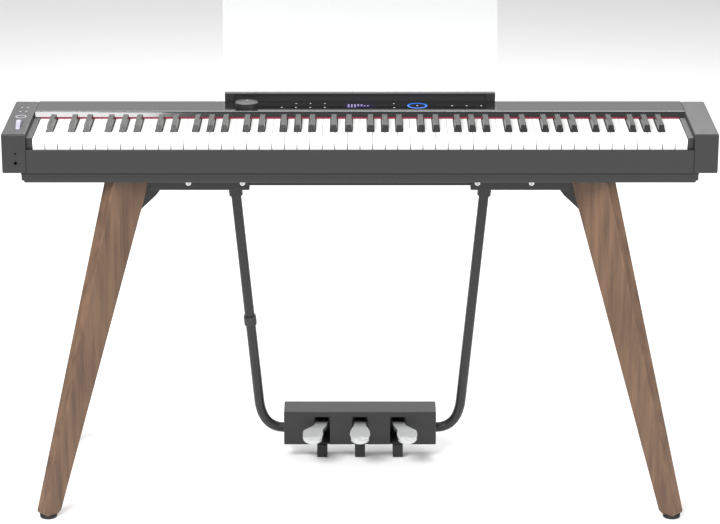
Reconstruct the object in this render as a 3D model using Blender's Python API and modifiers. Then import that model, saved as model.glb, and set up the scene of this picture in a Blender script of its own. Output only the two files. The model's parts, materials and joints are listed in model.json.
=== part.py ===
"""Slim 88-key digital piano on a four-legged wooden stand with a hanging three-pedal unit.

Metres, +Z up, +X to the player's right, -Y towards the player. The origin is on the floor, midway
between the four feet.
"""

import math

import bmesh
import bpy
from mathutils import Matrix, Vector

# Fits
GAP = 0.0003                 # between touching or neighbouring pieces
SHAFT_PLAY = 0.0004          # round a turning shaft

# Body
TOP_Z = 0.741                # top of the panel and the end blocks
BODY_HALF = 0.670
BODY_FRONT_Y = -0.121
BODY_REAR_Y = 0.121
RAIL_BOTTOM_Z = 0.6652
PAN_BOTTOM_Z = 0.6425
PAN_GROOVE = 0.0030          # shadow line between pan and rail
PAN_HALF = 0.637
PAN_FRONT_Y = -0.112
PAN_TAPER = 0.006
SHELL_WALL = 0.003
END_BLOCK_WIDTH = 0.0455
END_WALL = 0.004
RAIL_TOP_Z = 0.7105
RAIL_WALL = 0.0045
RAIL_FLANGE = 0.0122
EDGE_ROUND = 0.0025

# Keyboard
OCTAVE = 0.165
WHITE_COUNT = 52
KEY_TOP_Z = 0.7295
KEY_SIDE_GAP = 0.001
WHITE_FRONT_Y = -0.1128
WHITE_THICK = 0.0108
LIP_DEPTH = 0.0205
LIP_LENGTH = 0.008
BLACK_RISE = 0.0115
BLACK_FRONT_Y = -0.0615
BLACK_SLOPE = 0.008
BLACK_REAR_Y = 0.024
BLACK_BASE_WIDTH = 0.013
BLACK_TOP_WIDTH = 0.0098
BLACK_SKIRT = 0.0055
BLACK_BODY_DEPTH = 0.023
NOTCH_GAP = 0.001
NOTCH_FRONT_GAP = 0.002
WHITE_AXIS_Y = 0.100
WHITE_END_Y = 0.108
WHITE_WEB_Y = 0.088
BLACK_AXIS_Y = 0.078
BLACK_END_Y = 0.085
BLACK_WEB_LENGTH = 0.015
BLACK_WEB_HEIGHT = 0.0075

# Panel
FASCIA_Y = 0.041
FASCIA_BOTTOM_Z = 0.731
FASCIA_LEAN = 0.004
PANEL_WALL = 0.003
FELT_FRONT_Y = 0.033
FELT_REAR_Y = 0.052
KNOB_X = -0.2195
KNOB_Y = 0.084
KNOB_RADIUS = 0.0225
KNOB_HEIGHT = 0.0085
KNOB_SHAFT_RADIUS = 0.003
DISPLAY_Y = 0.086
DISPLAY_SIZE = (0.059, 0.033)
DISPLAY_BODY = (0.075, 0.045)

# Bend wheel and headphone sockets in the left end block
WHEEL_X = -0.6435
WHEEL_Y = -0.056
WHEEL_RADIUS = 0.027
WHEEL_RISE = 0.010
WHEEL_WIDTH = 0.008
SOCKET_X = -0.6445
SOCKET_Z = (0.7035, 0.6850)
SOCKET_BORE = (0.0018, 0.0032)
SOCKET_NOSE = (0.0042, 0.0055)
SOCKET_BLOCK = (0.016, 0.024, 0.036)

# Key frame, boards, speakers
FRAME_BOTTOM_Z = 0.668
FRAME_FLOOR = 0.003
FRAME_RIB = 0.006
KEY_BLOCK_WIDTH = 0.0106
KEY_BLOCK_RISE = 0.0022
BOARD_SIZE = (0.300, 0.080, 0.0016)
BOARD_X = -0.180
BOSS_RADIUS = 0.004
BOSS_HEIGHT = 0.0045
SPEAKER_X = 0.545
SPEAKER_RADIUS = 0.040
SPEAKER_HEIGHT = 0.016

# Music rest
HOLDER_HALF = 0.263
HOLDER_FRONT_Y = 0.1186
HOLDER_DEPTH = 0.0145
HOLDER_RISE = 0.0165
HOLDER_HOOK = 0.024
HOLDER_END = 0.018
REST_HALF = 0.267
REST_THICK = 0.003
REST_HEIGHT = 0.194
REST_LEAN = math.radians(13)
REST_FOOT = (0.1248, 0.7446)
REST_SLOT_PLAY = 0.0003

# Stand
LEG_TURN = math.radians(42)  # plan direction of each plank, inwards from its outer edge
LEG_OUTER_TOP = (0.4736, 0.0792)
LEG_RUN = 0.1877             # outward run of the outer edge between the leg's top and its foot
LEG_WIDTH_TOP = 0.086
LEG_WIDTH_FOOT = 0.038
LEG_THICK = 0.028
LEG_KNEE_DROP = 0.055
FOOT_HEIGHT = 0.006
FOOT_RADIUS = 0.017
BRACKET_INNER_X = 0.209
BRACKET_OUTER_X = 0.3985
BRACKET_HALF_Y = 0.080
BRACKET_HEIGHT = 0.022
BRACKET_WALL = 0.005
GUSSET_THICK = 0.022
GUSSET_DROP = 0.072
GUSSET_REACH = 0.058
BOLT_RECESS_X = (0.3245, 0.2222)
BOLT_RECESS_RADIUS = 0.0095
CROSSBAR_Y = (-0.078, -0.048)
CROSSBAR_HEIGHT = 0.0135

# Pedal unit
TUBE_RADIUS = 0.0099
TUBE_TOP = (0.2455, 0.040)
TUBE_BEND = (0.2035, 0.122, 0.118)
TUBE_IN_BOX_X = 0.146
COLLAR_RADIUS = 0.0135
COLLAR_DROP = 0.048
BOX_HALF = 0.1535
BOX_FRONT_Y = 0.102
BOX_DEPTH = 0.0625
BOX_BOTTOM_Z = 0.0285
BOX_HEIGHT = 0.0705
BOX_WALL = 0.003
TUBE_ENTRY = (0.134, 0.054)
SLOT_WIDTH = 0.0315
SLOT_TOP_Z = 0.0885
PEDAL_PITCH = 0.0765
PEDAL_ARM = 0.0245
PEDAL_HEAD = 0.041
PEDAL_FLARE = 0.018
PEDAL_THICK = 0.008
PEDAL_TIP_Y = 0.043
PEDAL_TIP_Z = 0.062
PEDAL_KNEE_Z = 0.080
PIVOT_Y = 0.150
PIVOT_RADIUS = 0.004
HUB_RADIUS = 0.0085
EAR_THICK = 0.006
SUPPORT_WIDTH = 0.0205
SUPPORT_DEPTH = 0.034

# Derived sizes
PITCH = OCTAVE / 7
RAIL_END_X = BODY_HALF - END_BLOCK_WIDTH
INNER_HALF = RAIL_END_X - GAP
PAN_TOP_Z = RAIL_BOTTOM_Z - PAN_GROOVE
RIM_TOP_Z = RAIL_BOTTOM_Z - GAP
WHITE_BOTTOM_Z = KEY_TOP_Z - WHITE_THICK
BLACK_BOTTOM_Z = KEY_TOP_Z - BLACK_BODY_DEPTH
STAND_TOP_Z = PAN_BOTTOM_Z - GAP
FLOOR_INSIDE_Z = PAN_BOTTOM_Z + SHELL_WALL
PIVOT_Z = PEDAL_KNEE_Z - PEDAL_THICK / 2
KEYBOARD_HALF = WHITE_COUNT * PITCH / 2
BLACK_OFFSETS = {0: -0.0025, 1: 0.0025, 3: -0.0036, 4: 0.0, 5: 0.0036}
WHITE_LETTERS = "CDEFGAB"

MIDDLE_OCTAVE = 4
COMB_OCTAVES = ((0, 1), (2, 2), (3, 3), (5, 5), (6, 6), (7, 8))


for old in list(bpy.data.objects):
    bpy.data.objects.remove(old, do_unlink=True)

pianoParts = bpy.data.collections.new("digital_piano")
cutters = bpy.data.collections.new("cutters")
bpy.context.scene.collection.children.link(pianoParts)
bpy.context.scene.collection.children.link(cutters)


def finish(name, color, roughness, metallic=0.0, alpha=1.0):
    """A plain surface finish."""
    material = bpy.data.materials.new(name)
    material.use_nodes = True
    shader = material.node_tree.nodes["Principled BSDF"]
    shader.inputs["Base Color"].default_value = (*color, 1.0)
    shader.inputs["Roughness"].default_value = roughness
    shader.inputs["Metallic"].default_value = metallic
    shader.inputs["Alpha"].default_value = alpha
    return material


SATIN_BLACK = finish("satin_black", (0.020, 0.020, 0.021), 0.42)
GLOSS_BLACK = finish("gloss_black", (0.008, 0.008, 0.009), 0.08)
WHITE_KEY = finish("white_key", (0.90, 0.89, 0.85), 0.25)
BLACK_KEY = finish("black_key", (0.012, 0.012, 0.012), 0.22)
RED_FELT = finish("red_felt", (0.26, 0.010, 0.035), 0.95)
WALNUT = finish("walnut", (0.150, 0.075, 0.038), 0.5)
RUBBER = finish("rubber", (0.012, 0.012, 0.012), 0.8)
BLACK_METAL = finish("black_metal", (0.025, 0.025, 0.026), 0.35, 0.5)
CHROME = finish("chrome", (0.62, 0.63, 0.63), 0.18, 1.0)
CLEAR = finish("clear_sheet", (0.9, 0.93, 0.93), 0.05, 0.0, 0.25)
BOARD = finish("circuit_board", (0.02, 0.12, 0.05), 0.5)
GLASS = finish("display_glass", (0.015, 0.010, 0.035), 0.08)
WHEEL = finish("wheel_lavender", (0.40, 0.38, 0.48), 0.35)
CONE = finish("speaker_cone", (0.03, 0.03, 0.03), 0.7)


def put_in(collection, name, mesh, material=None, origin=(0, 0, 0)):
    """An object whose mesh is given in world places and whose origin is put at the given point."""
    mesh.transform(Matrix.Translation(-Vector(origin)))
    mesh.name = name
    item = bpy.data.objects.new(name, mesh)
    item.location = origin
    if material:
        mesh.materials.clear()
        mesh.materials.append(material)
    collection.objects.link(item)
    return item


def part(name, mesh, material, origin=(0, 0, 0)):
    return put_in(pianoParts, name, mesh, material, origin)


def helper(name, mesh):
    """A cutter or a shape to be joined, left out of the piano itself."""
    item = put_in(cutters, name, mesh)
    item.hide_render = True
    item.display_type = "WIRE"
    return item


def combine(item, other, operation):
    """Cuts the other shape from the item, joins it on, or keeps what they share."""
    boolean = item.modifiers.new(operation.lower(), "BOOLEAN")
    boolean.operation = operation
    boolean.solver = "EXACT"
    boolean.object = other
    return item


def rounded(item, width, segments=2, angle=40):
    bevel = item.modifiers.new("rounded_edges", "BEVEL")
    bevel.width = width
    bevel.segments = segments
    bevel.limit_method = "ANGLE"
    bevel.angle_limit = math.radians(angle)
    return item


def smooth(item, angle=35):
    item.data.shade_smooth()
    item.data.set_sharp_from_angle(angle=math.radians(angle))
    return item


def mesh_from(shape_maker):
    """A mesh made by filling an edit mesh."""
    work = bmesh.new()
    shape_maker(work)
    mesh = bpy.data.meshes.new("shape")
    work.to_mesh(mesh)
    work.free()
    return mesh


def boxes(*corners):
    """One mesh of boxes, each given by its low and high corner."""
    def fill(work):
        for low, high in corners:
            low, high = Vector(low), Vector(high)
            size = high - low
            place = Matrix.Translation((low + high) / 2) @ Matrix.Diagonal((*size, 1))
            bmesh.ops.create_cube(work, size=1, matrix=place)
    return mesh_from(fill)


def frustums(*shapes):
    """One mesh of tapered blocks, each given by its base and its top as low and high (x, y) and a z."""
    def fill(work):
        for base_low, base_high, base_z, top_low, top_high, top_z in shapes:
            made = bmesh.ops.create_cube(work, size=1)["verts"]
            for vert in made:
                low, high, z = (top_low, top_high, top_z) if vert.co.z > 0 else (base_low, base_high, base_z)
                x = high[0] if vert.co.x > 0 else low[0]
                y = high[1] if vert.co.y > 0 else low[1]
                vert.co = (x, y, z)
    return mesh_from(fill)


def rod(start, end, radius, sides=24, end_radius=None):
    """A cylinder or cone between two points."""
    start, end = Vector(start), Vector(end)
    along = end - start
    turn = along.to_track_quat("Z", "Y").to_matrix().to_4x4()
    place = Matrix.Translation((start + end) / 2) @ turn

    def fill(work):
        bmesh.ops.create_cone(work, cap_ends=True, segments=sides, radius1=radius,
                              radius2=radius if end_radius is None else end_radius,
                              depth=along.length, matrix=place)
    return mesh_from(fill)


def merged(*meshes):
    """Several separate meshes as one."""
    def fill(work):
        for mesh in meshes:
            work.from_mesh(mesh)
    return mesh_from(fill)


def from_curve(curve):
    """The welded mesh of a curve, which is then removed."""
    carrier = bpy.data.objects.new("outline", curve)
    bpy.context.scene.collection.objects.link(carrier)
    graph = bpy.context.evaluated_depsgraph_get()
    mesh = bpy.data.meshes.new_from_object(carrier.evaluated_get(graph))
    bpy.data.objects.remove(carrier)
    work = bmesh.new()
    work.from_mesh(mesh)
    bmesh.ops.remove_doubles(work, verts=work.verts, dist=0.000001)
    bmesh.ops.recalc_face_normals(work, faces=work.faces)
    work.to_mesh(mesh)
    work.free()
    return mesh


def slab(points, thickness, place=Matrix.Identity(4)):
    """A flat outline with its thickness shared between both sides, then moved by a matrix."""
    curve = bpy.data.curves.new("outline", "CURVE")
    curve.dimensions = "2D"
    curve.fill_mode = "BOTH"
    curve.extrude = thickness / 2
    spline = curve.splines.new("POLY")
    spline.points.add(len(points) - 1)
    for point, (x, y) in zip(spline.points, points):
        point.co = (x, y, 0, 1)
    spline.use_cyclic_u = True
    mesh = from_curve(curve)
    mesh.transform(place)
    return mesh


def along_x(points, low, high):
    """A profile of (y, z) points carried along X."""
    place = Matrix(((0, 0, 1, (low + high) / 2), (1, 0, 0, 0), (0, 1, 0, 0), (0, 0, 0, 1)))
    return slab(points, high - low, place)


def upwards(points, low, high):
    """An outline of (x, y) points carried along Z."""
    return slab(points, high - low, Matrix.Translation((0, 0, (low + high) / 2)))


def arc(center, radius, start, end, steps):
    """Points on an arc, with angles in degrees."""
    turns = [math.radians(start + (end - start) * k / steps) for k in range(steps + 1)]
    return [(center[0] + radius * math.cos(t), center[1] + radius * math.sin(t)) for t in turns]


# The keyboard

def white_left(index):
    return -KEYBOARD_HALF + index * PITCH


def black_center(index):
    """Middle of the black key to the right of a white key, or None where there is none."""
    step = (index - 2) % 7
    if step not in BLACK_OFFSETS or index == WHITE_COUNT - 1:
        return None
    return white_left(index + 1) + BLACK_OFFSETS[step]


def white_edges(index):
    """Left and right edges of a white key at its front and at its tail."""
    left = white_left(index) + KEY_SIDE_GAP / 2
    right = white_left(index + 1) - KEY_SIDE_GAP / 2
    reach = BLACK_BASE_WIDTH / 2 + NOTCH_GAP
    before, after = (black_center(index - 1) if index else None), black_center(index)
    return left, right, before + reach if before else left, after - reach if after else right


def white_outline(index):
    """Plan outline of a white key, notched beside each black key."""
    notch_y = BLACK_FRONT_Y - NOTCH_FRONT_GAP
    left, right, tail_left, tail_right = white_edges(index)
    points = [(tail_left, WHITE_END_Y)]
    if tail_left > left:
        points += [(tail_left, notch_y), (left, notch_y)]
    points += [(left, WHITE_FRONT_Y), (right, WHITE_FRONT_Y)]
    if tail_right < right:
        points += [(right, notch_y), (tail_right, notch_y)]
    return points + [(tail_right, WHITE_END_Y)]


def white_keys(name, indices):
    """One white key, or a row of them joined by a web at the rear."""
    origin = ((white_left(indices[0]) + white_left(indices[-1] + 1)) / 2, WHITE_AXIS_Y, WHITE_BOTTOM_Z)
    bodies = merged(*[upwards(white_outline(index), WHITE_BOTTOM_Z, KEY_TOP_Z) for index in indices])
    keys = part(name, bodies, WHITE_KEY, origin)
    lips = []
    for index in indices:
        left, right, _, _ = white_edges(index)
        lips.append(((left + GAP, WHITE_FRONT_Y + GAP, KEY_TOP_Z - LIP_DEPTH),
                     (right - GAP, WHITE_FRONT_Y + LIP_LENGTH, KEY_TOP_Z - WHITE_THICK / 2)))
    combine(keys, helper(name + "_lips", boxes(*lips)), "UNION")
    if len(indices) > 1:
        web = boxes(((white_left(indices[0]) + PITCH / 2, WHITE_WEB_Y, WHITE_BOTTOM_Z + GAP),
                     (white_left(indices[-1]) + PITCH / 2, WHITE_END_Y - GAP, KEY_TOP_Z - GAP)))
        combine(keys, helper(name + "_web", web), "UNION")
    return keys


def black_keys(name, indices):
    centers = [black_center(index) for index in indices]
    origin = ((centers[0] + centers[-1]) / 2, BLACK_AXIS_Y, BLACK_BOTTOM_Z)
    body_half = BLACK_TOP_WIDTH / 2
    base_half = BLACK_BASE_WIDTH / 2
    bodies = [((x - body_half, BLACK_FRONT_Y + BLACK_SLOPE / 4, BLACK_BOTTOM_Z),
               (x + body_half, BLACK_END_Y, KEY_TOP_Z - KEY_SIDE_GAP)) for x in centers]
    top_z = KEY_TOP_Z + BLACK_RISE
    caps = [((x - base_half, BLACK_FRONT_Y), (x + base_half, BLACK_REAR_Y), KEY_TOP_Z - BLACK_SKIRT,
             (x - body_half, BLACK_FRONT_Y + BLACK_SLOPE), (x + body_half, BLACK_REAR_Y), top_z)
            for x in centers]
    keys = part(name, boxes(*bodies), BLACK_KEY, origin)
    combine(keys, helper(name + "_caps", frustums(*caps)), "UNION")
    if len(indices) > 1:
        web = boxes(((centers[0] - body_half / 2, BLACK_END_Y - BLACK_WEB_LENGTH, BLACK_BOTTOM_Z + GAP),
                     (centers[-1] + body_half / 2, BLACK_END_Y - GAP, BLACK_BOTTOM_Z + BLACK_WEB_HEIGHT)))
        combine(keys, helper(name + "_web", web), "UNION")
    return keys


def octave_of(index):
    return (index + 5) // 7


for first, last in COMB_OCTAVES:
    whites = [i for i in range(WHITE_COUNT) if first <= octave_of(i) <= last]
    blacks = [i for i in whites if black_center(i) is not None]
    label = f"octave_{first}" if first == last else f"octaves_{first}_{last}"
    white_keys("white_keys_" + label, whites)
    black_keys("black_keys_" + label, blacks)

for i in range(WHITE_COUNT):
    if octave_of(i) != MIDDLE_OCTAVE:
        continue
    letter = WHITE_LETTERS[(i - 2) % 7]
    white_keys(f"white_key_{letter}{MIDDLE_OCTAVE}", [i])
    if black_center(i) is not None:
        black_keys(f"black_key_{letter}s{MIDDLE_OCTAVE}", [i])


# The body

def lower_case():
    """Tapered pan with a rim, ribs under the key frame and bosses under the main board."""
    half, front, rear = PAN_HALF, PAN_FRONT_Y, -PAN_FRONT_Y
    wall = SHELL_WALL
    outside = frustums(((-half + PAN_TAPER, front + PAN_TAPER), (half - PAN_TAPER, rear - PAN_TAPER),
                        PAN_BOTTOM_Z, (-half, front), (half, rear), PAN_TOP_Z))
    pan = rounded(part("lower_case", outside, SATIN_BLACK), 0.002)
    step = wall / 2
    rim = boxes(((-half + step, front + step, PAN_BOTTOM_Z + 2 * wall), (half - step, rear - step, RIM_TOP_Z)))
    combine(pan, helper("pan_rim", rim), "UNION")
    inner = step + wall
    hollow = boxes(((-half + inner + PAN_TAPER, front + inner + PAN_TAPER, FLOOR_INSIDE_Z),
                    (half - inner - PAN_TAPER, rear - inner - PAN_TAPER, RIM_TOP_Z + wall)))
    combine(pan, helper("pan_hollow", hollow), "DIFFERENCE")
    rib_top = FRAME_BOTTOM_Z - GAP
    root = FLOOR_INSIDE_Z - wall / 2
    rib_end = RAIL_END_X - wall
    ribs = boxes(*[((-rib_end, y - wall / 2, root), (rib_end, y + wall / 2, rib_top)) for y in (-0.070, 0.070)])
    combine(pan, helper("pan_ribs", ribs), "UNION")
    x_reach, y_reach = BOARD_SIZE[0] / 2 - 0.01, BOARD_SIZE[1] / 2 - 0.01
    bosses = [rod((BOARD_X + sx * x_reach, sy * y_reach, root),
                  (BOARD_X + sx * x_reach, sy * y_reach, FLOOR_INSIDE_Z + BOSS_HEIGHT), BOSS_RADIUS, 12)
              for sx in (-1, 1) for sy in (-1, 1)]
    combine(pan, helper("pan_bosses", merged(*bosses)), "UNION")
    slots = [((side * SPEAKER_X - 0.028, y - 0.0015, PAN_BOTTOM_Z - wall),
              (side * SPEAKER_X + 0.028, y + 0.0015, FLOOR_INSIDE_Z + wall))
             for side in (-1, 1) for y in (-0.020, -0.010, 0.0, 0.010, 0.020)]
    combine(pan, helper("speaker_slots", boxes(*slots)), "DIFFERENCE")
    return pan


def front_rail():
    """Face plate with a rounded top edge and a foot flange that rests on the pan's rim."""
    y, wall, r = BODY_FRONT_Y, RAIL_WALL, EDGE_ROUND
    top = arc((y + r, RAIL_TOP_Z - r), r, 180, 90, 3)
    points = [(y, RAIL_BOTTOM_Z)] + top + [(y + wall, RAIL_TOP_Z), (y + wall, RAIL_BOTTOM_Z + 0.0024),
                                           (y + RAIL_FLANGE, RAIL_BOTTOM_Z + 0.0024), (y + RAIL_FLANGE, RAIL_BOTTOM_Z)]
    return part("front_rail", along_x(points, -INNER_HALF, INNER_HALF), SATIN_BLACK)


def end_block(side):
    """Hollow end block, open underneath. The left one has the wheel slot and the socket holes."""
    name = "left_end_block" if side < 0 else "right_end_block"
    inner_x, outer_x = side * RAIL_END_X, side * BODY_HALF
    low_x, high_x = sorted((inner_x, outer_x))
    shape = boxes(((low_x, BODY_FRONT_Y, RAIL_BOTTOM_Z), (high_x, BODY_REAR_Y, TOP_Z)))
    block = rounded(part(name, shape, SATIN_BLACK), EDGE_ROUND)
    wall = END_WALL
    hollow = boxes(((low_x + wall, BODY_FRONT_Y + wall, RAIL_BOTTOM_Z - wall),
                    (high_x - wall, BODY_REAR_Y - wall, TOP_Z - wall)))
    combine(block, helper(name + "_hollow", hollow), "DIFFERENCE")
    if side > 0:
        return block
    half_slot = WHEEL_WIDTH / 2 + 0.0012
    reach = math.sqrt(WHEEL_RADIUS ** 2 - (WHEEL_RADIUS - WHEEL_RISE) ** 2) + 0.006
    slot = boxes(((WHEEL_X - half_slot, WHEEL_Y - reach, TOP_Z - 2 * wall),
                  (WHEEL_X + half_slot, WHEEL_Y + reach, TOP_Z + wall)))
    combine(block, helper("wheel_slot", slot), "DIFFERENCE")
    ear_x = half_slot + GAP
    wheel_z = TOP_Z + WHEEL_RISE - WHEEL_RADIUS
    ears = boxes(*[((WHEEL_X + s * (ear_x + 0.0015) - 0.0015, WHEEL_Y - 0.007, wheel_z - 0.007),
                    (WHEEL_X + s * (ear_x + 0.0015) + 0.0015, WHEEL_Y + 0.007, TOP_Z - wall / 2))
                   for s in (-1, 1)])
    combine(block, helper("wheel_ears", ears), "UNION")
    bore = rod((WHEEL_X - 0.012, WHEEL_Y, wheel_z), (WHEEL_X + 0.012, WHEEL_Y, wheel_z),
               KNOB_SHAFT_RADIUS + SHAFT_PLAY, 16)
    combine(block, helper("wheel_bore", bore), "DIFFERENCE")
    holes = [rod((SOCKET_X, BODY_FRONT_Y - wall, z), (SOCKET_X, BODY_FRONT_Y + 2 * wall, z), nose + GAP, 20)
             for z, nose in zip(SOCKET_Z, SOCKET_NOSE)]
    combine(block, helper("socket_holes", merged(*holes)), "DIFFERENCE")
    return block


def bend_wheel():
    """Turned wheel on a short axle that runs in the ears of the end block."""
    wheel_z = TOP_Z + WHEEL_RISE - WHEEL_RADIUS
    center = (WHEEL_X, WHEEL_Y, wheel_z)
    half = WHEEL_WIDTH / 2
    wheel = part("pitch_bend_wheel", rod((WHEEL_X - half, WHEEL_Y, wheel_z), (WHEEL_X + half, WHEEL_Y, wheel_z),
                                         WHEEL_RADIUS, 48), WHEEL, center)
    axle = rod((WHEEL_X - half - 0.004, WHEEL_Y, wheel_z), (WHEEL_X + half + 0.004, WHEEL_Y, wheel_z),
               KNOB_SHAFT_RADIUS, 16)
    return smooth(combine(wheel, helper("wheel_axle", axle), "UNION"))


def headphone_socket():
    """Socket block behind the end block's front wall, with two noses flush with its face."""
    width, depth, height = SOCKET_BLOCK
    back_y = BODY_FRONT_Y + END_WALL + GAP
    mid_z = sum(SOCKET_Z) / 2
    block = part("headphone_socket", boxes(((SOCKET_X - width / 2, back_y, mid_z - height / 2),
                                            (SOCKET_X + width / 2, back_y + depth, mid_z + height / 2))), SATIN_BLACK)
    noses = [rod((SOCKET_X, BODY_FRONT_Y, z), (SOCKET_X, back_y + END_WALL, z), nose, 20)
             for z, nose in zip(SOCKET_Z, SOCKET_NOSE)]
    combine(block, helper("socket_noses", merged(*noses)), "UNION")
    bores = [rod((SOCKET_X, BODY_FRONT_Y - END_WALL, z), (SOCKET_X, back_y + depth - END_WALL, z), bore, 16)
             for z, bore in zip(SOCKET_Z, SOCKET_BORE)]
    combine(block, helper("socket_bores", merged(*bores)), "DIFFERENCE")
    return block


def upper_case():
    """Panel with its fascia, cut for the display, the knob's shaft and the music rest holder."""
    y, wall = FASCIA_Y, PANEL_WALL
    back = BODY_REAR_Y - SHELL_WALL - GAP
    round_edge = arc((y + FASCIA_LEAN + EDGE_ROUND, TOP_Z - EDGE_ROUND), EDGE_ROUND, 170, 90, 3)
    points = [(y, FASCIA_BOTTOM_Z)] + round_edge + [
        (BODY_REAR_Y, TOP_Z), (BODY_REAR_Y, TOP_Z - wall), (y + FASCIA_LEAN + wall + 0.001, TOP_Z - wall),
        (y + FASCIA_LEAN + wall, FASCIA_BOTTOM_Z + wall / 2), (FELT_REAR_Y, FASCIA_BOTTOM_Z + wall / 2),
        (FELT_REAR_Y, FASCIA_BOTTOM_Z)]
    panel = part("upper_case", along_x(points, -INNER_HALF, INNER_HALF), GLOSS_BLACK)
    width, depth = DISPLAY_SIZE
    window = boxes(((-width / 2 - GAP, DISPLAY_Y - depth / 2 - GAP, TOP_Z - 2 * wall),
                    (width / 2 + GAP, DISPLAY_Y + depth / 2 + GAP, TOP_Z + wall)))
    combine(panel, helper("display_window", window), "DIFFERENCE")
    hole = rod((KNOB_X, KNOB_Y, TOP_Z - 2 * wall), (KNOB_X, KNOB_Y, TOP_Z + wall),
               KNOB_SHAFT_RADIUS + SHAFT_PLAY, 20)
    combine(panel, helper("knob_hole", hole), "DIFFERENCE")
    return panel


def display_module():
    """Flat module held under the panel, its raised glass filling the window."""
    width, depth = DISPLAY_SIZE
    body_width, body_depth = DISPLAY_BODY
    under = TOP_Z - PANEL_WALL - GAP
    module = part("display_module", boxes(((-body_width / 2, DISPLAY_Y - body_depth / 2, under - 0.003),
                                           (body_width / 2, DISPLAY_Y + body_depth / 2, under))), GLASS)
    glass = boxes(((-width / 2, DISPLAY_Y - depth / 2, under - 0.001), (width / 2, DISPLAY_Y + depth / 2, TOP_Z)))
    combine(module, helper("display_glass", glass), "UNION")
    return module


def volume_knob():
    """Turned knob with a recessed top, on a shaft through the panel."""
    base = TOP_Z + GAP
    profile = [(KNOB_SHAFT_RADIUS, TOP_Z - PANEL_WALL - 0.002), (KNOB_SHAFT_RADIUS, base), (KNOB_RADIUS, base),
               (KNOB_RADIUS, base + KNOB_HEIGHT - 0.001), (KNOB_RADIUS - 0.001, base + KNOB_HEIGHT),
               (KNOB_RADIUS - 0.0025, base + KNOB_HEIGHT), (KNOB_RADIUS - 0.0035, base + KNOB_HEIGHT - 0.001)]
    profile = [(0, profile[0][1])] + profile + [(0, base + KNOB_HEIGHT - 0.001)]
    return smooth(turned("volume_knob", profile, SATIN_BLACK, (KNOB_X, KNOB_Y, TOP_Z), 48))


def turned(name, profile, material, origin, steps):
    """A profile of (radius, z) points, top of the outside first, turned about a vertical axis."""
    mesh = bpy.data.meshes.new(name)
    points = [(radius, 0, z - origin[2]) for radius, z in reversed(profile)]
    mesh.from_pydata(points, [(k, k + 1) for k in range(len(points) - 1)], [])
    mesh.materials.append(material)
    item = bpy.data.objects.new(name, mesh)
    item.location = origin
    pianoParts.objects.link(item)
    screw = item.modifiers.new("turned", "SCREW")
    screw.axis = "Z"
    screw.steps = screw.render_steps = steps
    screw.use_merge_vertices = True
    screw.merge_threshold = 0.00005
    return item


def rear_cover():
    """Rear wall with small inlets for power, data and the pedal unit."""
    wall = SHELL_WALL
    y0, y1 = BODY_REAR_Y - wall, BODY_REAR_Y
    top = TOP_Z - PANEL_WALL - GAP
    foot_y = y0 - 3 * wall
    points = [(foot_y, RAIL_BOTTOM_Z), (y1, RAIL_BOTTOM_Z), (y1, top), (y0 - wall, top), (y0 - wall, top - wall),
              (y0, top - wall), (y0, RAIL_BOTTOM_Z + 0.0024), (foot_y, RAIL_BOTTOM_Z + 0.0024)]
    cover = part("rear_cover", along_x(points, -INNER_HALF, INNER_HALF), SATIN_BLACK)
    z = RAIL_BOTTOM_Z + 0.030
    power_pin = rod((0.420, y0 - wall, z), (0.420, y1 - 0.001, z), 0.0010, 10)
    power = rod((0.420, y0 + 0.001, z), (0.420, y1 + wall, z), 0.0029, 16)
    data = boxes(((0.360, y0 + 0.001, z - 0.0017), (0.372, y1 + wall, z + 0.0017)))
    pedal = boxes(((0.300, y0 + 0.001, z - 0.0018), (0.318, y1 + wall, z + 0.0018)))
    combine(cover, helper("rear_inlets", merged(power, data, pedal)), "DIFFERENCE")
    combine(cover, helper("power_pin", power_pin), "UNION")
    return cover


def key_frame():
    """Tray with fulcrum rails for both rows of keys, a stop rail and the key blocks at its ends."""
    z0, z1, rib = FRAME_BOTTOM_Z, FRAME_BOTTOM_Z + FRAME_FLOOR, FRAME_RIB
    white_seat, black_seat = WHITE_BOTTOM_Z - GAP, BLACK_BOTTOM_Z - GAP
    stop_y, stop_z = -0.096, WHITE_BOTTOM_Z - 0.0102
    points = [(-0.108, z0), (0.108, z0), (0.108, z1), (WHITE_AXIS_Y + rib, z1), (WHITE_AXIS_Y + rib, white_seat),
              (WHITE_AXIS_Y, white_seat), (WHITE_AXIS_Y, z1), (BLACK_AXIS_Y + rib, z1),
              (BLACK_AXIS_Y + rib, black_seat), (BLACK_AXIS_Y, black_seat), (BLACK_AXIS_Y, z1),
              (stop_y + FRAME_FLOOR, z1), (stop_y + FRAME_FLOOR, stop_z - FRAME_FLOOR),
              (stop_y + 3 * rib, stop_z - FRAME_FLOOR), (stop_y + 3 * rib, stop_z), (stop_y, stop_z),
              (stop_y, z1), (-0.108, z1)]
    half = INNER_HALF - GAP
    frame = part("key_frame", along_x(points, -half, half), SATIN_BLACK)
    block_top = KEY_TOP_Z + KEY_BLOCK_RISE
    block_rear = FELT_FRONT_Y - GAP
    blocks = [((sorted((s * (half - KEY_BLOCK_WIDTH), s * half))[0], WHITE_FRONT_Y, z0 + FRAME_FLOOR / 2),
               (sorted((s * (half - KEY_BLOCK_WIDTH), s * half))[1], block_rear, block_top)) for s in (-1, 1)]
    combine(frame, helper("key_blocks", boxes(*blocks)), "UNION")
    return frame


def key_felt():
    top = FASCIA_BOTTOM_Z - GAP
    return part("key_felt", boxes(((-KEYBOARD_HALF, FELT_FRONT_Y, KEY_TOP_Z + GAP),
                                   (KEYBOARD_HALF, FELT_REAR_Y - GAP, top))), RED_FELT)


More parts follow.
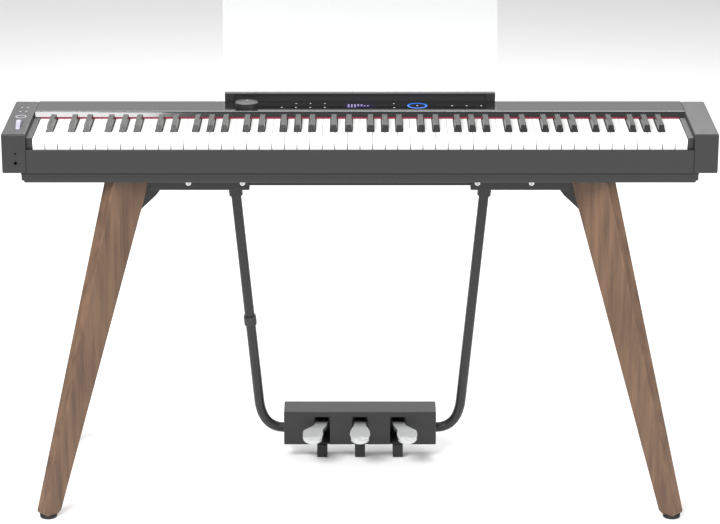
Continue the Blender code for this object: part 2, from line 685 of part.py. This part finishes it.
def main_board():
    width, depth, thick = BOARD_SIZE
    z = FLOOR_INSIDE_Z + BOSS_HEIGHT + GAP
    board = part("main_board", boxes(((BOARD_X - width / 2, -depth / 2, z),
                                      (BOARD_X + width / 2, depth / 2, z + thick))), BOARD)
    chips = boxes(((BOARD_X - 0.06, -0.015, z + thick / 2), (BOARD_X - 0.03, 0.015, z + thick + 0.002)),
                  ((BOARD_X + 0.04, -0.02, z + thick / 2), (BOARD_X + 0.06, 0.02, z + thick + 0.006)),
                  ((BOARD_X + 0.10, -0.01, z + thick / 2), (BOARD_X + 0.12, 0.01, z + thick + 0.004)))
    combine(board, helper("board_chips", chips), "UNION")
    return board


def speaker(side):
    """Shallow round driver: a cone in a basket with its magnet behind."""
    name = "left_speaker" if side < 0 else "right_speaker"
    z = FLOOR_INSIDE_Z + GAP
    radius, height = SPEAKER_RADIUS, SPEAKER_HEIGHT
    profile = [(0, z + 0.0045), (0.008, z + 0.006), (radius - 0.006, z + 0.0008), (radius - 0.003, z),
               (radius, z), (radius, z + 0.003), (radius - 0.006, z + 0.004), (radius * 0.55, z + height - 0.006),
               (radius * 0.5, z + height), (0, z + height)]
    return smooth(turned(name, profile, CONE, (side * SPEAKER_X, 0, z), 24))


# The music rest

def rest_point(along, across):
    """A point of the sheet's plane, by its height along the sheet and its distance across it."""
    y = REST_FOOT[0] + along * math.sin(REST_LEAN) + across * math.cos(REST_LEAN)
    z = REST_FOOT[1] + along * math.cos(REST_LEAN) - across * math.sin(REST_LEAN)
    return y, z


def music_rest_holder():
    """Bar that hooks over the rear edge, with a trough in front and an open slot for the sheet."""
    front, rear = HOLDER_FRONT_Y, HOLDER_FRONT_Y + HOLDER_DEPTH
    base, top = TOP_Z + GAP, TOP_Z + HOLDER_RISE
    hook_y = BODY_REAR_Y + GAP
    points = [(front, base), (hook_y, base), (hook_y, base - HOLDER_HOOK), (rear, base - HOLDER_HOOK),
              (rear, top), (front + 0.001, top), (front, top - 0.001)]
    holder = part("music_rest_holder", along_x(points, -HOLDER_HALF, HOLDER_HALF), SATIN_BLACK)
    trough = boxes(((-HOLDER_HALF + HOLDER_END, front - 0.004, base + 0.0018),
                    (HOLDER_HALF - HOLDER_END, front + 0.0035, top - 0.0028)))
    combine(holder, helper("rest_trough", trough), "DIFFERENCE")
    play = REST_SLOT_PLAY
    slot = [rest_point(-play, -play), rest_point(-play, REST_THICK + play),
            rest_point(0.04, REST_THICK + play), rest_point(0.04, -play)]
    combine(holder, helper("rest_slot", along_x(slot, -REST_HALF - 0.01, REST_HALF + 0.01)), "DIFFERENCE")
    return holder


def music_rest():
    points = [rest_point(0, 0), rest_point(0, REST_THICK), rest_point(REST_HEIGHT, REST_THICK),
              rest_point(REST_HEIGHT, 0)]
    return part("music_rest", along_x(points, -REST_HALF, REST_HALF), CLEAR, (0, *REST_FOOT))


# The stand

def leg_place(side, end):
    """Matrix from a leg's flat outline (inward distance, height) to its place. The outline's plane is upright."""
    inward = Vector((-side * math.cos(LEG_TURN), -end * math.sin(LEG_TURN), 0))
    across = Vector((-inward.y, inward.x, 0)) * (side * end)
    outer = Vector((side * LEG_OUTER_TOP[0], end * LEG_OUTER_TOP[1], 0))
    return Matrix((
        (inward.x, 0, across.x, outer.x), (inward.y, 0, across.y, outer.y), (0, 1, 0, 0), (0, 0, 0, 1)))


def leg_edge(z):
    """Inward distance of the outer edge at a height, measured from the outer edge's top."""
    return -LEG_RUN * (STAND_TOP_Z - z) / (STAND_TOP_Z - FOOT_HEIGHT)


def leg_inner(z):
    """Inward distance of the inner edge at a height."""
    knee = STAND_TOP_Z - LEG_KNEE_DROP
    if z >= knee:
        return LEG_WIDTH_TOP + leg_edge(z)
    share = (knee - z) / (knee - FOOT_HEIGHT)
    knee_x = LEG_WIDTH_TOP + leg_edge(knee)
    foot_x = leg_edge(FOOT_HEIGHT) + LEG_WIDTH_FOOT
    return knee_x + (foot_x - knee_x) * share


def leg(side, end):
    name = ("left" if side < 0 else "right") + "_" + ("front" if end < 0 else "rear") + "_leg"
    foot = FOOT_HEIGHT + GAP
    knee = STAND_TOP_Z - LEG_KNEE_DROP
    cut = 0.005
    points = [(leg_edge(foot) + cut, foot), (leg_inner(foot) - cut, foot), (leg_inner(foot + cut), foot + cut),
              (leg_inner(knee), knee), (leg_inner(STAND_TOP_Z), STAND_TOP_Z), (0, STAND_TOP_Z),
              (leg_edge(foot + cut), foot + cut)]
    mesh = slab(points, LEG_THICK, leg_place(side, end))
    return rounded(part(name, turned_out(mesh), WALNUT), 0.002)


def turned_out(mesh):
    """The same mesh with its faces pointing out."""
    work = bmesh.new()
    work.from_mesh(mesh)
    bmesh.ops.recalc_face_normals(work, faces=work.faces)
    work.to_mesh(mesh)
    work.free()
    return mesh


def foot_center(side, end):
    middle = (leg_edge(FOOT_HEIGHT) + LEG_WIDTH_FOOT / 2)
    return leg_place(side, end) @ Vector((middle, 0, 0))


def leg_foot(side, end):
    name = ("left" if side < 0 else "right") + "_" + ("front" if end < 0 else "rear") + "_foot"
    center = foot_center(side, end)
    disc = rod((center.x, center.y, 0), (center.x, center.y, FOOT_HEIGHT), FOOT_RADIUS - 0.001, 32, FOOT_RADIUS)
    return smooth(part(name, disc, RUBBER), 50)


def tube_line(side):
    """Top and lower end of a pedal tube's straight run."""
    top = Vector((side * TUBE_TOP[0], TUBE_TOP[1], STAND_TOP_Z - BRACKET_HEIGHT + 0.012))
    bend = Vector((side * TUBE_BEND[0], TUBE_BEND[1], TUBE_BEND[2]))
    return top, bend


def stand_bracket(side):
    """Channel under the pan with a middle web, gussets along both legs and a collar for the pedal tube."""
    name = ("left" if side < 0 else "right") + "_stand_bracket"
    top, bottom, wall = STAND_TOP_Z, STAND_TOP_Z - BRACKET_HEIGHT, BRACKET_WALL
    low_x, high_x = sorted((side * BRACKET_INNER_X, side * BRACKET_OUTER_X))
    half_y = BRACKET_HALF_Y
    bracket = part(name, boxes(((low_x, -half_y, bottom), (high_x, half_y, top))), BLACK_METAL)
    rounded(bracket, 0.0015)
    cells = [((low_x + wall, y0, bottom - wall), (high_x - wall, y1, top - wall))
             for y0, y1 in ((-half_y + wall, -wall / 2), (wall / 2, half_y - wall))]
    combine(bracket, helper(name + "_cells", boxes(*cells)), "DIFFERENCE")
    gusset_top = top - 0.001
    low = top - GUSSET_DROP
    start = leg_inner(gusset_top) + GAP
    knee = STAND_TOP_Z - LEG_KNEE_DROP
    outline = [(start, gusset_top), (leg_inner(knee) + GAP, knee), (leg_inner(low) + GAP, low),
               (leg_inner(low) + 0.006, low + 0.004), (start + 0.016, low + 0.022),
               (start + GUSSET_REACH * 0.7, bottom - 0.006), (start + GUSSET_REACH, bottom + 0.003),
               (start + GUSSET_REACH, gusset_top)]
    for end in (-1, 1):
        gusset = turned_out(slab(outline, GUSSET_THICK, leg_place(side, end)))
        combine(bracket, helper(f"{name}_gusset_{'front' if end < 0 else 'rear'}", gusset), "UNION")
    tube_top, tube_bend = tube_line(side)
    along = (tube_bend - tube_top).normalized()
    collar = rod(tube_top - along * 0.008, tube_top + along * (COLLAR_DROP + 0.012), COLLAR_RADIUS, 24)
    combine(bracket, helper(name + "_collar", collar), "UNION")
    bore = rod(tube_top - along * GAP, tube_top + along * 0.12, TUBE_RADIUS + GAP, 24)
    combine(bracket, helper(name + "_bore", bore), "DIFFERENCE")
    recesses = [rod((side * x, s * (half_y + 0.002), top), (side * x, s * (half_y - wall / 2), top),
                    BOLT_RECESS_RADIUS, 20) for x in BOLT_RECESS_X for s in (-1, 1)]
    combine(bracket, helper(name + "_bolt_recesses", merged(*recesses)), "DIFFERENCE")
    return bracket


def crossbar():
    half = BRACKET_INNER_X - GAP
    bar = part("stand_crossbar", boxes(((-half, CROSSBAR_Y[0], STAND_TOP_Z - CROSSBAR_HEIGHT),
                                        (half, CROSSBAR_Y[1], STAND_TOP_Z))), BLACK_METAL)
    return rounded(bar, 0.0015)


# The pedal unit

def pedal_tube(side):
    """Bent tube from the bracket's collar down into the side of the pedal box."""
    name = ("left" if side < 0 else "right") + "_pedal_tube"
    top, bend = tube_line(side)
    entry = Vector((side * BOX_HALF, TUBE_ENTRY[0], TUBE_ENTRY[1]))
    end = Vector((side * TUBE_IN_BOX_X, TUBE_ENTRY[0], TUBE_ENTRY[1]))
    down = (bend - top).normalized()
    inward = (end - entry).normalized()
    pull = (entry - bend).length * 0.42
    handles = (bend, bend + down * pull, entry - inward * pull, entry)
    steps = 8
    points = [top]
    for k in range(steps + 1):
        t = k / steps
        weights = ((1 - t) ** 3, 3 * t * (1 - t) ** 2, 3 * t * t * (1 - t), t ** 3)
        points.append(sum((h * w for h, w in zip(handles, weights)), Vector((0, 0, 0))))
    points.append(end)
    curve = bpy.data.curves.new(name, "CURVE")
    curve.dimensions = "3D"
    curve.bevel_depth = TUBE_RADIUS
    curve.bevel_resolution = 4
    curve.use_fill_caps = True
    spline = curve.splines.new("POLY")
    spline.points.add(len(points) - 1)
    for point, place in zip(spline.points, points):
        point.co = (*place, 1)
    return smooth(part(name, from_curve(curve), BLACK_METAL))


def pedal_box_cover():
    """Open-bottomed box with three pedal slots and a hole for a tube in each end."""
    low = (-BOX_HALF, BOX_FRONT_Y, BOX_BOTTOM_Z)
    high = (BOX_HALF, BOX_FRONT_Y + BOX_DEPTH, BOX_BOTTOM_Z + BOX_HEIGHT)
    cover = rounded(part("pedal_box_cover", boxes((low, high)), BLACK_METAL), 0.002)
    wall = BOX_WALL
    hollow = boxes(((low[0] + wall, low[1] + wall, low[2] - wall), (high[0] - wall, high[1] - wall, high[2] - wall)))
    combine(cover, helper("box_hollow", hollow), "DIFFERENCE")
    slots = boxes(*[((x - SLOT_WIDTH / 2, low[1] - wall, low[2] - wall),
                     (x + SLOT_WIDTH / 2, low[1] + 2 * wall, SLOT_TOP_Z)) for x in pedal_centers()])
    combine(cover, helper("pedal_slots", slots), "DIFFERENCE")
    holes = rod((-BOX_HALF - wall, TUBE_ENTRY[0], TUBE_ENTRY[1]), (BOX_HALF + wall, TUBE_ENTRY[0], TUBE_ENTRY[1]),
                TUBE_RADIUS + 2 * GAP, 24)
    combine(cover, helper("tube_holes", holes), "DIFFERENCE")
    return cover


def pedal_centers():
    return [-PEDAL_PITCH, 0.0, PEDAL_PITCH]


def pedal_box_base():
    """Base plate with shaft ears and three supports down to the floor."""
    inset = BOX_WALL + GAP
    z0, z1 = BOX_BOTTOM_Z, BOX_BOTTOM_Z + BOX_WALL
    rear = BOX_FRONT_Y + BOX_DEPTH - inset
    base = part("pedal_box_base", boxes(((-BOX_HALF + inset, BOX_FRONT_Y + inset, z0),
                                         (BOX_HALF - inset, rear, z1))), RUBBER)
    ears = boxes(*[((x - EAR_THICK / 2, PIVOT_Y - 0.008, z0 + BOX_WALL / 2),
                    (x + EAR_THICK / 2, PIVOT_Y + 0.008, PIVOT_Z + 0.008)) for x in ear_centers()])
    combine(base, helper("shaft_ears", ears), "UNION")
    shaft_x = 0.13
    bore = rod((-shaft_x - 0.01, PIVOT_Y, PIVOT_Z), (shaft_x + 0.01, PIVOT_Y, PIVOT_Z), PIVOT_RADIUS + GAP, 20)
    combine(base, helper("ear_bore", bore), "DIFFERENCE")
    front = BOX_FRONT_Y + 0.0005
    profile = [(front + 0.004, 0), (front + SUPPORT_DEPTH - 0.004, 0), (front + SUPPORT_DEPTH, 0.004),
               (front + SUPPORT_DEPTH, z0 + BOX_WALL / 2), (front + inset + 0.001, z0 + BOX_WALL / 2),
               (front + inset + 0.001, z0 - 0.001), (front, z0 - 0.001), (front, 0.004)]
    supports = [along_x(profile, x - SUPPORT_WIDTH / 2, x + SUPPORT_WIDTH / 2) for x in pedal_centers()]
    combine(base, helper("floor_supports", merged(*supports)), "UNION")
    return base


def ear_centers():
    return [s * PEDAL_PITCH / 2 for s in (-3, -1, 1, 3)]


def pedal_shaft():
    reach = PEDAL_PITCH * 1.5 + EAR_THICK / 2 + 0.004
    return smooth(part("pedal_shaft", rod((-reach, PIVOT_Y, PIVOT_Z), (reach, PIVOT_Y, PIVOT_Z), PIVOT_RADIUS, 20),
                       CHROME))


def pedal(name, x, flare):
    """Bent plate cut to the pedal's plan outline, with a hub round the shaft."""
    thick = PEDAL_THICK
    tip_z, knee_z = PEDAL_TIP_Z, PEDAL_KNEE_Z
    side = [(PEDAL_TIP_Y - 0.01, tip_z - 0.0125), (BOX_FRONT_Y - 0.004, knee_z - thick), (PIVOT_Y, knee_z - thick),
            (PIVOT_Y, knee_z), (BOX_FRONT_Y - 0.004, knee_z), (PEDAL_TIP_Y + 0.012, tip_z + 0.002),
            (PEDAL_TIP_Y, tip_z - 0.002), (PEDAL_TIP_Y - 0.01, tip_z - 0.0065)]
    spread = 0.05
    plate = part(name, along_x(side, x - spread, x + spread), CHROME, (x, PIVOT_Y, PIVOT_Z))
    half, head = PEDAL_ARM / 2, PEDAL_HEAD / 2
    tip = x + flare
    front = PEDAL_TIP_Y + head
    outline = ([(x - half, PIVOT_Y + 0.001), (x - half, BOX_FRONT_Y - 0.002),
                (x - half + flare * 0.2, BOX_FRONT_Y - 0.014), (tip - head * 0.92, front + 0.010)]
               + arc((tip, front), head, 180, 360, 12)
               + [(tip + head * 0.92, front + 0.010), (x + half + flare * 0.2, BOX_FRONT_Y - 0.014),
                  (x + half, BOX_FRONT_Y - 0.002), (x + half, PIVOT_Y + 0.001)])
    combine(plate, helper(name + "_outline", upwards(outline, 0.03, 0.10)), "INTERSECT")
    hub = rod((x - half, PIVOT_Y, PIVOT_Z), (x + half, PIVOT_Y, PIVOT_Z), HUB_RADIUS, 20)
    combine(plate, helper(name + "_hub", hub), "UNION")
    bore = rod((x - 0.03, PIVOT_Y, PIVOT_Z), (x + 0.03, PIVOT_Y, PIVOT_Z), PIVOT_RADIUS + SHAFT_PLAY, 20)
    combine(plate, helper(name + "_bore", bore), "DIFFERENCE")
    return plate


lower_case()
front_rail()
end_block(-1)
end_block(1)
bend_wheel()
headphone_socket()
upper_case()
display_module()
volume_knob()
rear_cover()
key_frame()
key_felt()
main_board()
speaker(-1)
speaker(1)
music_rest_holder()
music_rest()
for leg_side in (-1, 1):
    stand_bracket(leg_side)
    pedal_tube(leg_side)
    for leg_end in (-1, 1):
        leg(leg_side, leg_end)
        leg_foot(leg_side, leg_end)
crossbar()
pedal_box_cover()
pedal_box_base()
pedal_shaft()
for pedal_name, center, outward in zip(("soft_pedal", "sostenuto_pedal", "damper_pedal"), pedal_centers(),
                                       (-PEDAL_FLARE, 0.0, PEDAL_FLARE)):
    pedal(pedal_name, center, outward)
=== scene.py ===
import json
import math

import bpy
import numpy as np
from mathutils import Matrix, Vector


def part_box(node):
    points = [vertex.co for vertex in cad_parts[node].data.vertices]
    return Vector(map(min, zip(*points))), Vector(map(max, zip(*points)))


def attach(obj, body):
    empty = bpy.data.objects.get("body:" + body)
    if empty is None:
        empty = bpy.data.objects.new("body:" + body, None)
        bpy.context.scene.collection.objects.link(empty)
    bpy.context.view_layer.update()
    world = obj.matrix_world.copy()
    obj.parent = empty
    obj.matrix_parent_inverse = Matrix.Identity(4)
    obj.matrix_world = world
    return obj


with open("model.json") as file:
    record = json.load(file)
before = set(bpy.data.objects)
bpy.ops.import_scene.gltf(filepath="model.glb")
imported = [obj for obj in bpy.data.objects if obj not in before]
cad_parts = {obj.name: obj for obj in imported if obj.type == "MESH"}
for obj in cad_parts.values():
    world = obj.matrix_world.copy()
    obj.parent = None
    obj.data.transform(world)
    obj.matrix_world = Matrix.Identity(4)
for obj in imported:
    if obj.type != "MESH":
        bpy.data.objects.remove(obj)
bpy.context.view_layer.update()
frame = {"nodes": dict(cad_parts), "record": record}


# A shader value that takes part in sums. node() makes any other node, and i3 there is input number 3.
class Socket:
    def __init__(self, tree, out):
        self.tree = tree
        self.out = out

    def node(self, kind, settings=None, pick=0, **inputs):
        made = self.tree.nodes.new(kind)
        for key, value in (settings or {}).items():
            setattr(made, key, value)
        for key, value in inputs.items():
            numbered = key[0] == "i" and key[1:].isdigit()
            target = made.inputs[int(key[1:])] if numbered else made.inputs[key]
            if isinstance(value, Socket):
                self.tree.links.new(value.out, target)
            else:
                target.default_value = value
        return Socket(self.tree, made.outputs[pick])

    def maths(self, operation, a, b):
        return self.node("ShaderNodeMath", {"operation": operation}, i0=a, i1=b)

    def __add__(self, other):
        return self.maths("ADD", self, other)

    def __radd__(self, other):
        return self.maths("ADD", other, self)

    def __mul__(self, other):
        return self.maths("MULTIPLY", self, other)

    def __rmul__(self, other):
        return self.maths("MULTIPLY", other, self)

    def __sub__(self, other):
        return self.maths("SUBTRACT", self, other)

    def __rsub__(self, other):
        return self.maths("SUBTRACT", other, self)


def blank(name):
    material = bpy.data.materials.new(name)
    material.use_nodes = True
    return material, material.node_tree.nodes["Principled BSDF"]


noise = {
    "fineTimes": 7,          # the fine noise is this many times smaller than the broad one
    "broadShare": 0.8,
    "fineShare": 0.2,
    "contrast": 1.8,
    "roughSpread": 0.12,
    "bumpDistance": 0.0004,
}
even = (1.0, 1.0, 1.0)


# Two noises in object space mix a dark and a light colour, and the fine one also varies the roughness and
# lifts a relief. grain stretches them along each axis.
def surface(name, dark, light, rough, size, relief, grain=even, metal=0.0, coat=0.0, alpha=1.0, glow=None):
    material, shader = blank(name)
    shader.inputs["Metallic"].default_value = metal
    shader.inputs["Coat Weight"].default_value = coat
    shader.inputs["Alpha"].default_value = alpha
    if glow:
        color, strength = glow
        shader.inputs["Emission Color"].default_value = (*color, 1)
        shader.inputs["Emission Strength"].default_value = strength

    start = Socket(material.node_tree, None)
    place = start.node("ShaderNodeTexCoord", pick=3)  # object coordinates
    stretched = start.node("ShaderNodeMapping", i0=place, Scale=grain)
    broad = start.node("ShaderNodeTexNoise", Vector=stretched, Scale=size, Detail=8.0)
    fine = start.node("ShaderNodeTexNoise", Vector=stretched, Scale=size * noise["fineTimes"], Detail=4.0)
    share = broad * noise["broadShare"] + fine * noise["fineShare"]
    contrast = (share - 0.5) * noise["contrast"] + 0.5
    tone = start.node("ShaderNodeMix", {"data_type": "RGBA"}, pick=2,
                      i0=contrast, i6=(*dark, 1), i7=(*light, 1))
    roughness = fine * noise["roughSpread"] + (rough - noise["roughSpread"] / 2)
    bump = start.node("ShaderNodeBump", Strength=relief, Distance=noise["bumpDistance"], Height=fine)
    links = material.node_tree.links
    links.new(tone.out, shader.inputs["Base Color"])
    links.new(roughness.out, shader.inputs["Roughness"])
    links.new(bump.out, shader.inputs["Normal"])
    return material


# One finish for each material slot of the record
looks = {
    "satin_black": surface("satinBlack", (0.014, 0.014, 0.015), (0.022, 0.022, 0.023),
                           rough=0.42, size=900.0, relief=0.25),
    "gloss_black": surface("glossBlack", (0.006, 0.006, 0.007), (0.009, 0.009, 0.010),
                           rough=0.10, size=60.0, relief=0.02, coat=0.6),
    "white_key": surface("whiteKey", (0.86, 0.86, 0.84), (0.93, 0.93, 0.91),
                         rough=0.28, size=500.0, relief=0.06, grain=(1.0, 0.3, 1.0)),
    "black_key": surface("blackKey", (0.007, 0.007, 0.007), (0.012, 0.012, 0.012),
                         rough=0.26, size=900.0, relief=0.12, grain=(1.0, 0.15, 1.0)),
    "red_felt": surface("redFelt", (0.20, 0.006, 0.030), (0.34, 0.016, 0.058),
                        rough=0.95, size=1400.0, relief=0.9),
    "walnut": surface("walnut", (0.055, 0.026, 0.014), (0.205, 0.115, 0.064),
                      rough=0.48, size=90.0, relief=0.35, grain=(1.0, 1.0, 0.07)),
    "rubber": surface("rubber", (0.010, 0.010, 0.010), (0.018, 0.018, 0.018),
                      rough=0.80, size=1200.0, relief=0.5),
    "black_metal": surface("blackMetal", (0.016, 0.016, 0.017), (0.027, 0.027, 0.028),
                           rough=0.36, size=1100.0, relief=0.3, metal=0.3),
    "chrome": surface("chrome", (0.50, 0.51, 0.51), (0.62, 0.63, 0.63),
                      rough=0.22, size=300.0, relief=0.08, grain=(8.0, 0.3, 1.0), metal=1.0),
    "clear_sheet": surface("clearSheet", (0.90, 0.93, 0.93), (0.94, 0.96, 0.96),
                           rough=0.08, size=40.0, relief=0.0, alpha=0.12),
    "circuit_board": surface("circuitBoard", (0.01, 0.08, 0.03), (0.02, 0.14, 0.06),
                             rough=0.5, size=400.0, relief=0.3),
    "display_glass": surface("displayGlass", (0.010, 0.006, 0.028), (0.014, 0.009, 0.036),
                             rough=0.10, size=50.0, relief=0.0, coat=0.5),
    "wheel_lavender": surface("wheelLavender", (0.34, 0.33, 0.42), (0.44, 0.43, 0.52),
                              rough=0.35, size=300.0, relief=0.2),
    "speaker_cone": surface("speakerCone", (0.02, 0.02, 0.02), (0.04, 0.04, 0.04),
                            rough=0.7, size=500.0, relief=0.5),
}

# Lit or printed marks, which no CAD node has
ringBlue = surface("ringBlue", (0.010, 0.10, 0.55), (0.012, 0.13, 0.62),
                   rough=0.3, size=200.0, relief=0.0, glow=((0.012, 0.14, 0.63), 0.9))
# markWhite glows on lit and printed marks alike; on printed marks such as the knob pointer that glow is
# painted brightness
markWhite = surface("markWhite", (0.55, 0.55, 0.57), (0.65, 0.65, 0.67),
                    rough=0.5, size=200.0, relief=0.0, glow=((0.6, 0.6, 0.65), 0.25))
glyphLavender = surface("glyphLavender", (0.30, 0.24, 0.55), (0.36, 0.29, 0.62),
                        rough=0.4, size=200.0, relief=0.0, glow=((0.34, 0.27, 0.62), 0.8))

for entry in frame["record"]["subparts"]:
    for slot in frame["nodes"][entry["node"]].material_slots:
        slot.material = looks[entry["material_slot"]]
print("materials done")


# A new piece from (points, faces), smooth except at sharp edges
def piece(name, shape, material, body="root"):
    points, faces = shape
    mesh = bpy.data.meshes.new(name)
    mesh.from_pydata(points.tolist(), [], faces)
    mesh.update()
    mesh.materials.append(material)
    mesh.shade_smooth()
    mesh.set_sharp_from_angle(angle=math.radians(35))
    item = bpy.data.objects.new(name, mesh)
    bpy.context.scene.collection.objects.link(item)
    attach(item, body)
    return item


# A profile of (radius, height) pairs turned about an axis and capped at both ends:
# point = center + radius * (cos t * side + sin t * other) + height * axis, with t once round
def lathe(center, axis, profile, steps):
    axis = np.asarray(axis, float)
    side = np.cross(axis, (0.0, 0.0, 1.0) if abs(axis[2]) < 0.9 else (1.0, 0.0, 0.0))
    side /= np.linalg.norm(side)
    other = np.cross(axis, side)
    turn = np.arange(steps) * 2 * math.pi / steps
    ring = np.cos(turn)[:, None] * side + np.sin(turn)[:, None] * other
    points = [np.asarray(center) + radius * ring + height * axis for radius, height in profile]
    faces = []
    for low in range(0, (len(profile) - 1) * steps, steps):
        high = low + steps
        for j in range(steps):
            n = (j + 1) % steps
            faces.append([low + j, low + n, high + n, high + j])
    last = (len(profile) - 1) * steps
    faces.append([j for j in range(steps)][::-1])
    faces.append([last + j for j in range(steps)])
    return np.concatenate(points), faces


# A ring of square section lying flat: point = center + (r cos t, r sin t, h), where (r, h) runs round the
# four corners of the section
def flatRing(center, radius, halfWidth, height, steps=64):
    turn = np.arange(steps) * 2 * math.pi / steps
    corners = [(radius - halfWidth, 0.0), (radius + halfWidth, 0.0),
               (radius + halfWidth, height), (radius - halfWidth, height)]
    points = [np.stack([center[0] + r * np.cos(turn), center[1] + r * np.sin(turn),
                        np.full(steps, center[2] + h)], 1) for r, h in corners]
    faces = []
    for k in range(len(corners)):
        low, high = k * steps, (k + 1) % len(corners) * steps
        for j in range(steps):
            n = (j + 1) % steps
            faces.append([low + j, low + n, high + n, high + j])
    return np.concatenate(points), faces


# Several (points, faces) shapes as one
def several(shapes):
    points, faces, base = [], [], 0
    for shapePoints, shapeFaces in shapes:
        points.append(shapePoints)
        faces += [[base + k for k in face] for face in shapeFaces]
        base += len(shapePoints)
    return np.concatenate(points), faces


# Low discs standing on a level surface
def discs(places, z, profile, sides):
    return several([lathe((x, y, z), (0, 0, 1), profile, sides) for x, y in places])


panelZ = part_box("upper_case")[1][2]
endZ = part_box("left_end_block")[1][2]

touchRing = {"center": (0.111, 0.0874, panelZ), "radius": 0.0178, "halfWidth": 0.0017, "height": 0.0003}
piece("touchRing", flatRing(**touchRing), ringBlue)

mark = {
    "profile": [(0.0016, 0.0), (0.0016, 0.00018), (0.0012, 0.00024)],
    "sides": 20,
    "panel": [(-0.1513, 0.0754), (-0.1239, 0.104), (-0.096, 0.104), (-0.0682, 0.104),
              (-0.1239, 0.074), (-0.096, 0.074), (-0.0682, 0.074), (0.066, 0.103), (0.066, 0.073),
              (0.1783, 0.0867), (0.2063, 0.0867), (0.2347, 0.0867), (0.111, 0.0874)],
    "endBlock": [(-0.6528, 0.0746), (-0.6411, 0.0746), (-0.6528, 0.0449), (-0.6411, 0.0449)],
}
piece("panelMarks", discs(mark["panel"], panelZ, mark["profile"], mark["sides"]), markWhite)
piece("endBlockMarks", discs(mark["endBlock"], endZ, mark["profile"], mark["sides"]), markWhite)

endRing = {"center": (-0.647, 0.007, endZ), "radius": 0.0095, "halfWidth": 0.0006, "height": 0.0002}
piece("endBlockRing", flatRing(**endRing), markWhite)

glyph = {
    "profile": [(0.0019, 0.0), (0.0019, 0.00015), (0.0017, 0.0002)],
    "sides": 6,
    "firstX": -0.022,
    "pitch": 0.0062,
    "rows": [(0.0945, 5), (0.0865, 7), (0.0785, 3)],  # y and how many in the row
}
glyphPlaces = [(glyph["firstX"] + k * glyph["pitch"], y) for y, count in glyph["rows"] for k in range(count)]
piece("displayGlyphs", discs(glyphPlaces, panelZ, glyph["profile"], glyph["sides"]), glyphLavender)
print("panel done")

bolt = {
    "profile": [(0.0058, 0.0), (0.0058, 0.0022), (0.0050, 0.0032), (0.0026, 0.0033), (0.0024, 0.0016)],
    "sides": 24,
    "x": (0.3245, 0.2222),   # both sides of the middle
    "y": -0.0776,
    "z": 0.6345,
}
piece("bracketBolts",
      several([lathe((side * x, bolt["y"], bolt["z"]), (0, -1, 0), bolt["profile"], bolt["sides"])
               for side in (-1, 1) for x in bolt["x"]]), looks["chrome"])

clip = {
    "profile": [(0.0101, -0.010), (0.0122, -0.010), (0.0126, -0.008), (0.0126, 0.008), (0.0122, 0.010),
                (0.0101, 0.010)],
    "sides": 32,
    "tubeTop": (-0.2455, 0.040, 0.632),
    "tubeRun": (0.042, 0.082, -0.514),  # from the tube's top to its bend
    "z": 0.300,
}
tubeTop, tubeRun = np.array(clip["tubeTop"]), np.array(clip["tubeRun"])
clipPlace = tubeTop + tubeRun * ((tubeTop[2] - clip["z"]) / -tubeRun[2])
piece("cableClip", lathe(clipPlace, tubeRun / np.linalg.norm(tubeRun), clip["profile"], clip["sides"]),
      looks["satin_black"])

# The knob pointer is a printed mark; the markWhite glow on it is painted brightness
pointer = {"x": -0.2195, "y": 0.099, "sink": 0.001, "sides": 16}
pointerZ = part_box("volume_knob")[1][2] - pointer["sink"]
piece("knobPointer", discs([(pointer["x"], pointer["y"])], pointerZ, mark["profile"], pointer["sides"]),
      markWhite, body="volume_knob")
print("stand pieces done")


def areaLight(name, place, target, size, power):
    light = bpy.data.lights.new(name, "AREA")
    light.shape = "RECTANGLE"
    light.size, light.size_y = size
    light.energy = power
    item = bpy.data.objects.new(name, light)
    item.location = place
    item.rotation_euler = (Vector(target) - Vector(place)).to_track_quat("-Z", "Y").to_euler()
    bpy.context.scene.collection.objects.link(item)


areaLight("keyLight", (-1.6, -2.2, 3.2), (0, 0, 0.6), (2.4, 1.6), 150)
areaLight("fillLight", (2.4, -2.6, 1.8), (0, 0, 0.5), (2.0, 2.0), 55)
areaLight("rearLight", (0.4, 2.6, 2.6), (0, 0, 0.7), (3.0, 1.0), 70)

# White where the camera sees it, dimmer as a light
backdrop = {"light": 0.65, "extraForCamera": 0.35}
world = bpy.data.worlds.new("world")
bpy.context.scene.world = world
world.use_nodes = True
background = world.node_tree.nodes["Background"]
background.inputs["Color"].default_value = (1, 1, 1, 1)
cameraRay = Socket(world.node_tree, None).node("ShaderNodeLightPath")
strength = cameraRay * backdrop["extraForCamera"] + backdrop["light"]
world.node_tree.links.new(strength.out, background.inputs["Strength"])

ground = {"half": 12, "z": -0.0005, "color": (0.93, 0.93, 0.93, 1), "rough": 0.7}
floorMaterial, floorShader = blank("paleFloor")
floorShader.inputs["Base Color"].default_value = ground["color"]
floorShader.inputs["Roughness"].default_value = ground["rough"]
floorMesh = bpy.data.meshes.new("floor")
floorCorners = [(x * ground["half"], y * ground["half"], ground["z"])
                for x, y in ((-1, -1), (1, -1), (1, 1), (-1, 1))]
floorMesh.from_pydata(floorCorners, [], [(0, 1, 2, 3)])
floorMesh.materials.append(floorMaterial)
floor = bpy.data.objects.new("floor", floorMesh)
bpy.context.scene.collection.objects.link(floor)

# The photograph's viewpoint: in front, 18 degrees above level
view = {"place": (0, -5.015, 2.099), "tilt": 71.81, "sensor": 36, "lens": 136.1}
camera = bpy.data.objects.new("camera", bpy.data.cameras.new("camera"))
bpy.context.scene.collection.objects.link(camera)
camera.location = view["place"]
camera.rotation_euler = (math.radians(view["tilt"]), 0, 0)
camera.data.sensor_width = view["sensor"]
camera.data.lens = view["lens"]
bpy.context.scene.camera = camera
bpy.context.scene.view_settings.view_transform = "Standard"
print("stage done")
